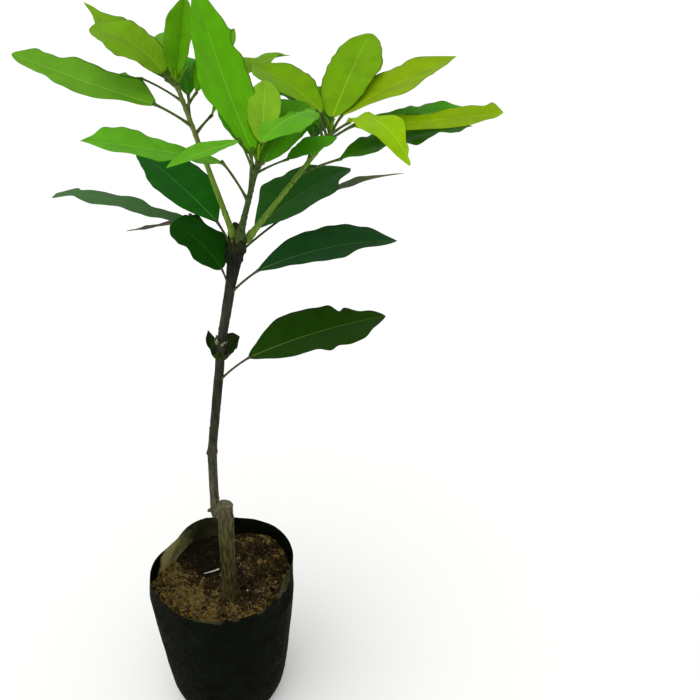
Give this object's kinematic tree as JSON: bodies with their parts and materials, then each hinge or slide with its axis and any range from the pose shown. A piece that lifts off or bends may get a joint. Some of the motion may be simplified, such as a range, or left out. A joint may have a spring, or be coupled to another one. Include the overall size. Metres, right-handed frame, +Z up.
{
  "type": "mango tree sapling in nursery bag",
  "caption": "Young grafted mango tree with a forked leafy crown, standing in a soil-filled black nursery bag.",
  "frame": {"origin": "centre of the bag's flat underside, on the surface it stands on", "axes": "+Z up along the trunk; +X to the right of the front view; -Y towards the viewer in the front view"},
  "size_m": [0.4257, 0.2268, 0.8196],
  "materials": {
    "bag": "satin",
    "soil": "matte",
    "bark": "matte",
    "shoot": "satin",
    "young_leaf": "satin",
    "old_leaf": "satin"
  },
  "bodies": {
    "root": {"bag": "bag", "soil": "soil", "trunk": "bark", "left_shoot": "shoot", "middle_shoot": "shoot", "right_shoot": "shoot", "left_crown": "young_leaf", "middle_crown": "young_leaf", "right_crown": "young_leaf", "fork_leaf_right": "old_leaf", "fork_leaf_far_right": "old_leaf", "fork_leaf_back_left": "old_leaf", "fork_leaf_low": "old_leaf", "fork_leaf_left": "old_leaf", "fork_leaf_far_left": "old_leaf", "upper_stem_leaf": "old_leaf", "lower_stem_leaf": "old_leaf", "bud_leaflet_left": "old_leaf", "bud_leaflet_right": "old_leaf"}
  },
  "joints": []
}
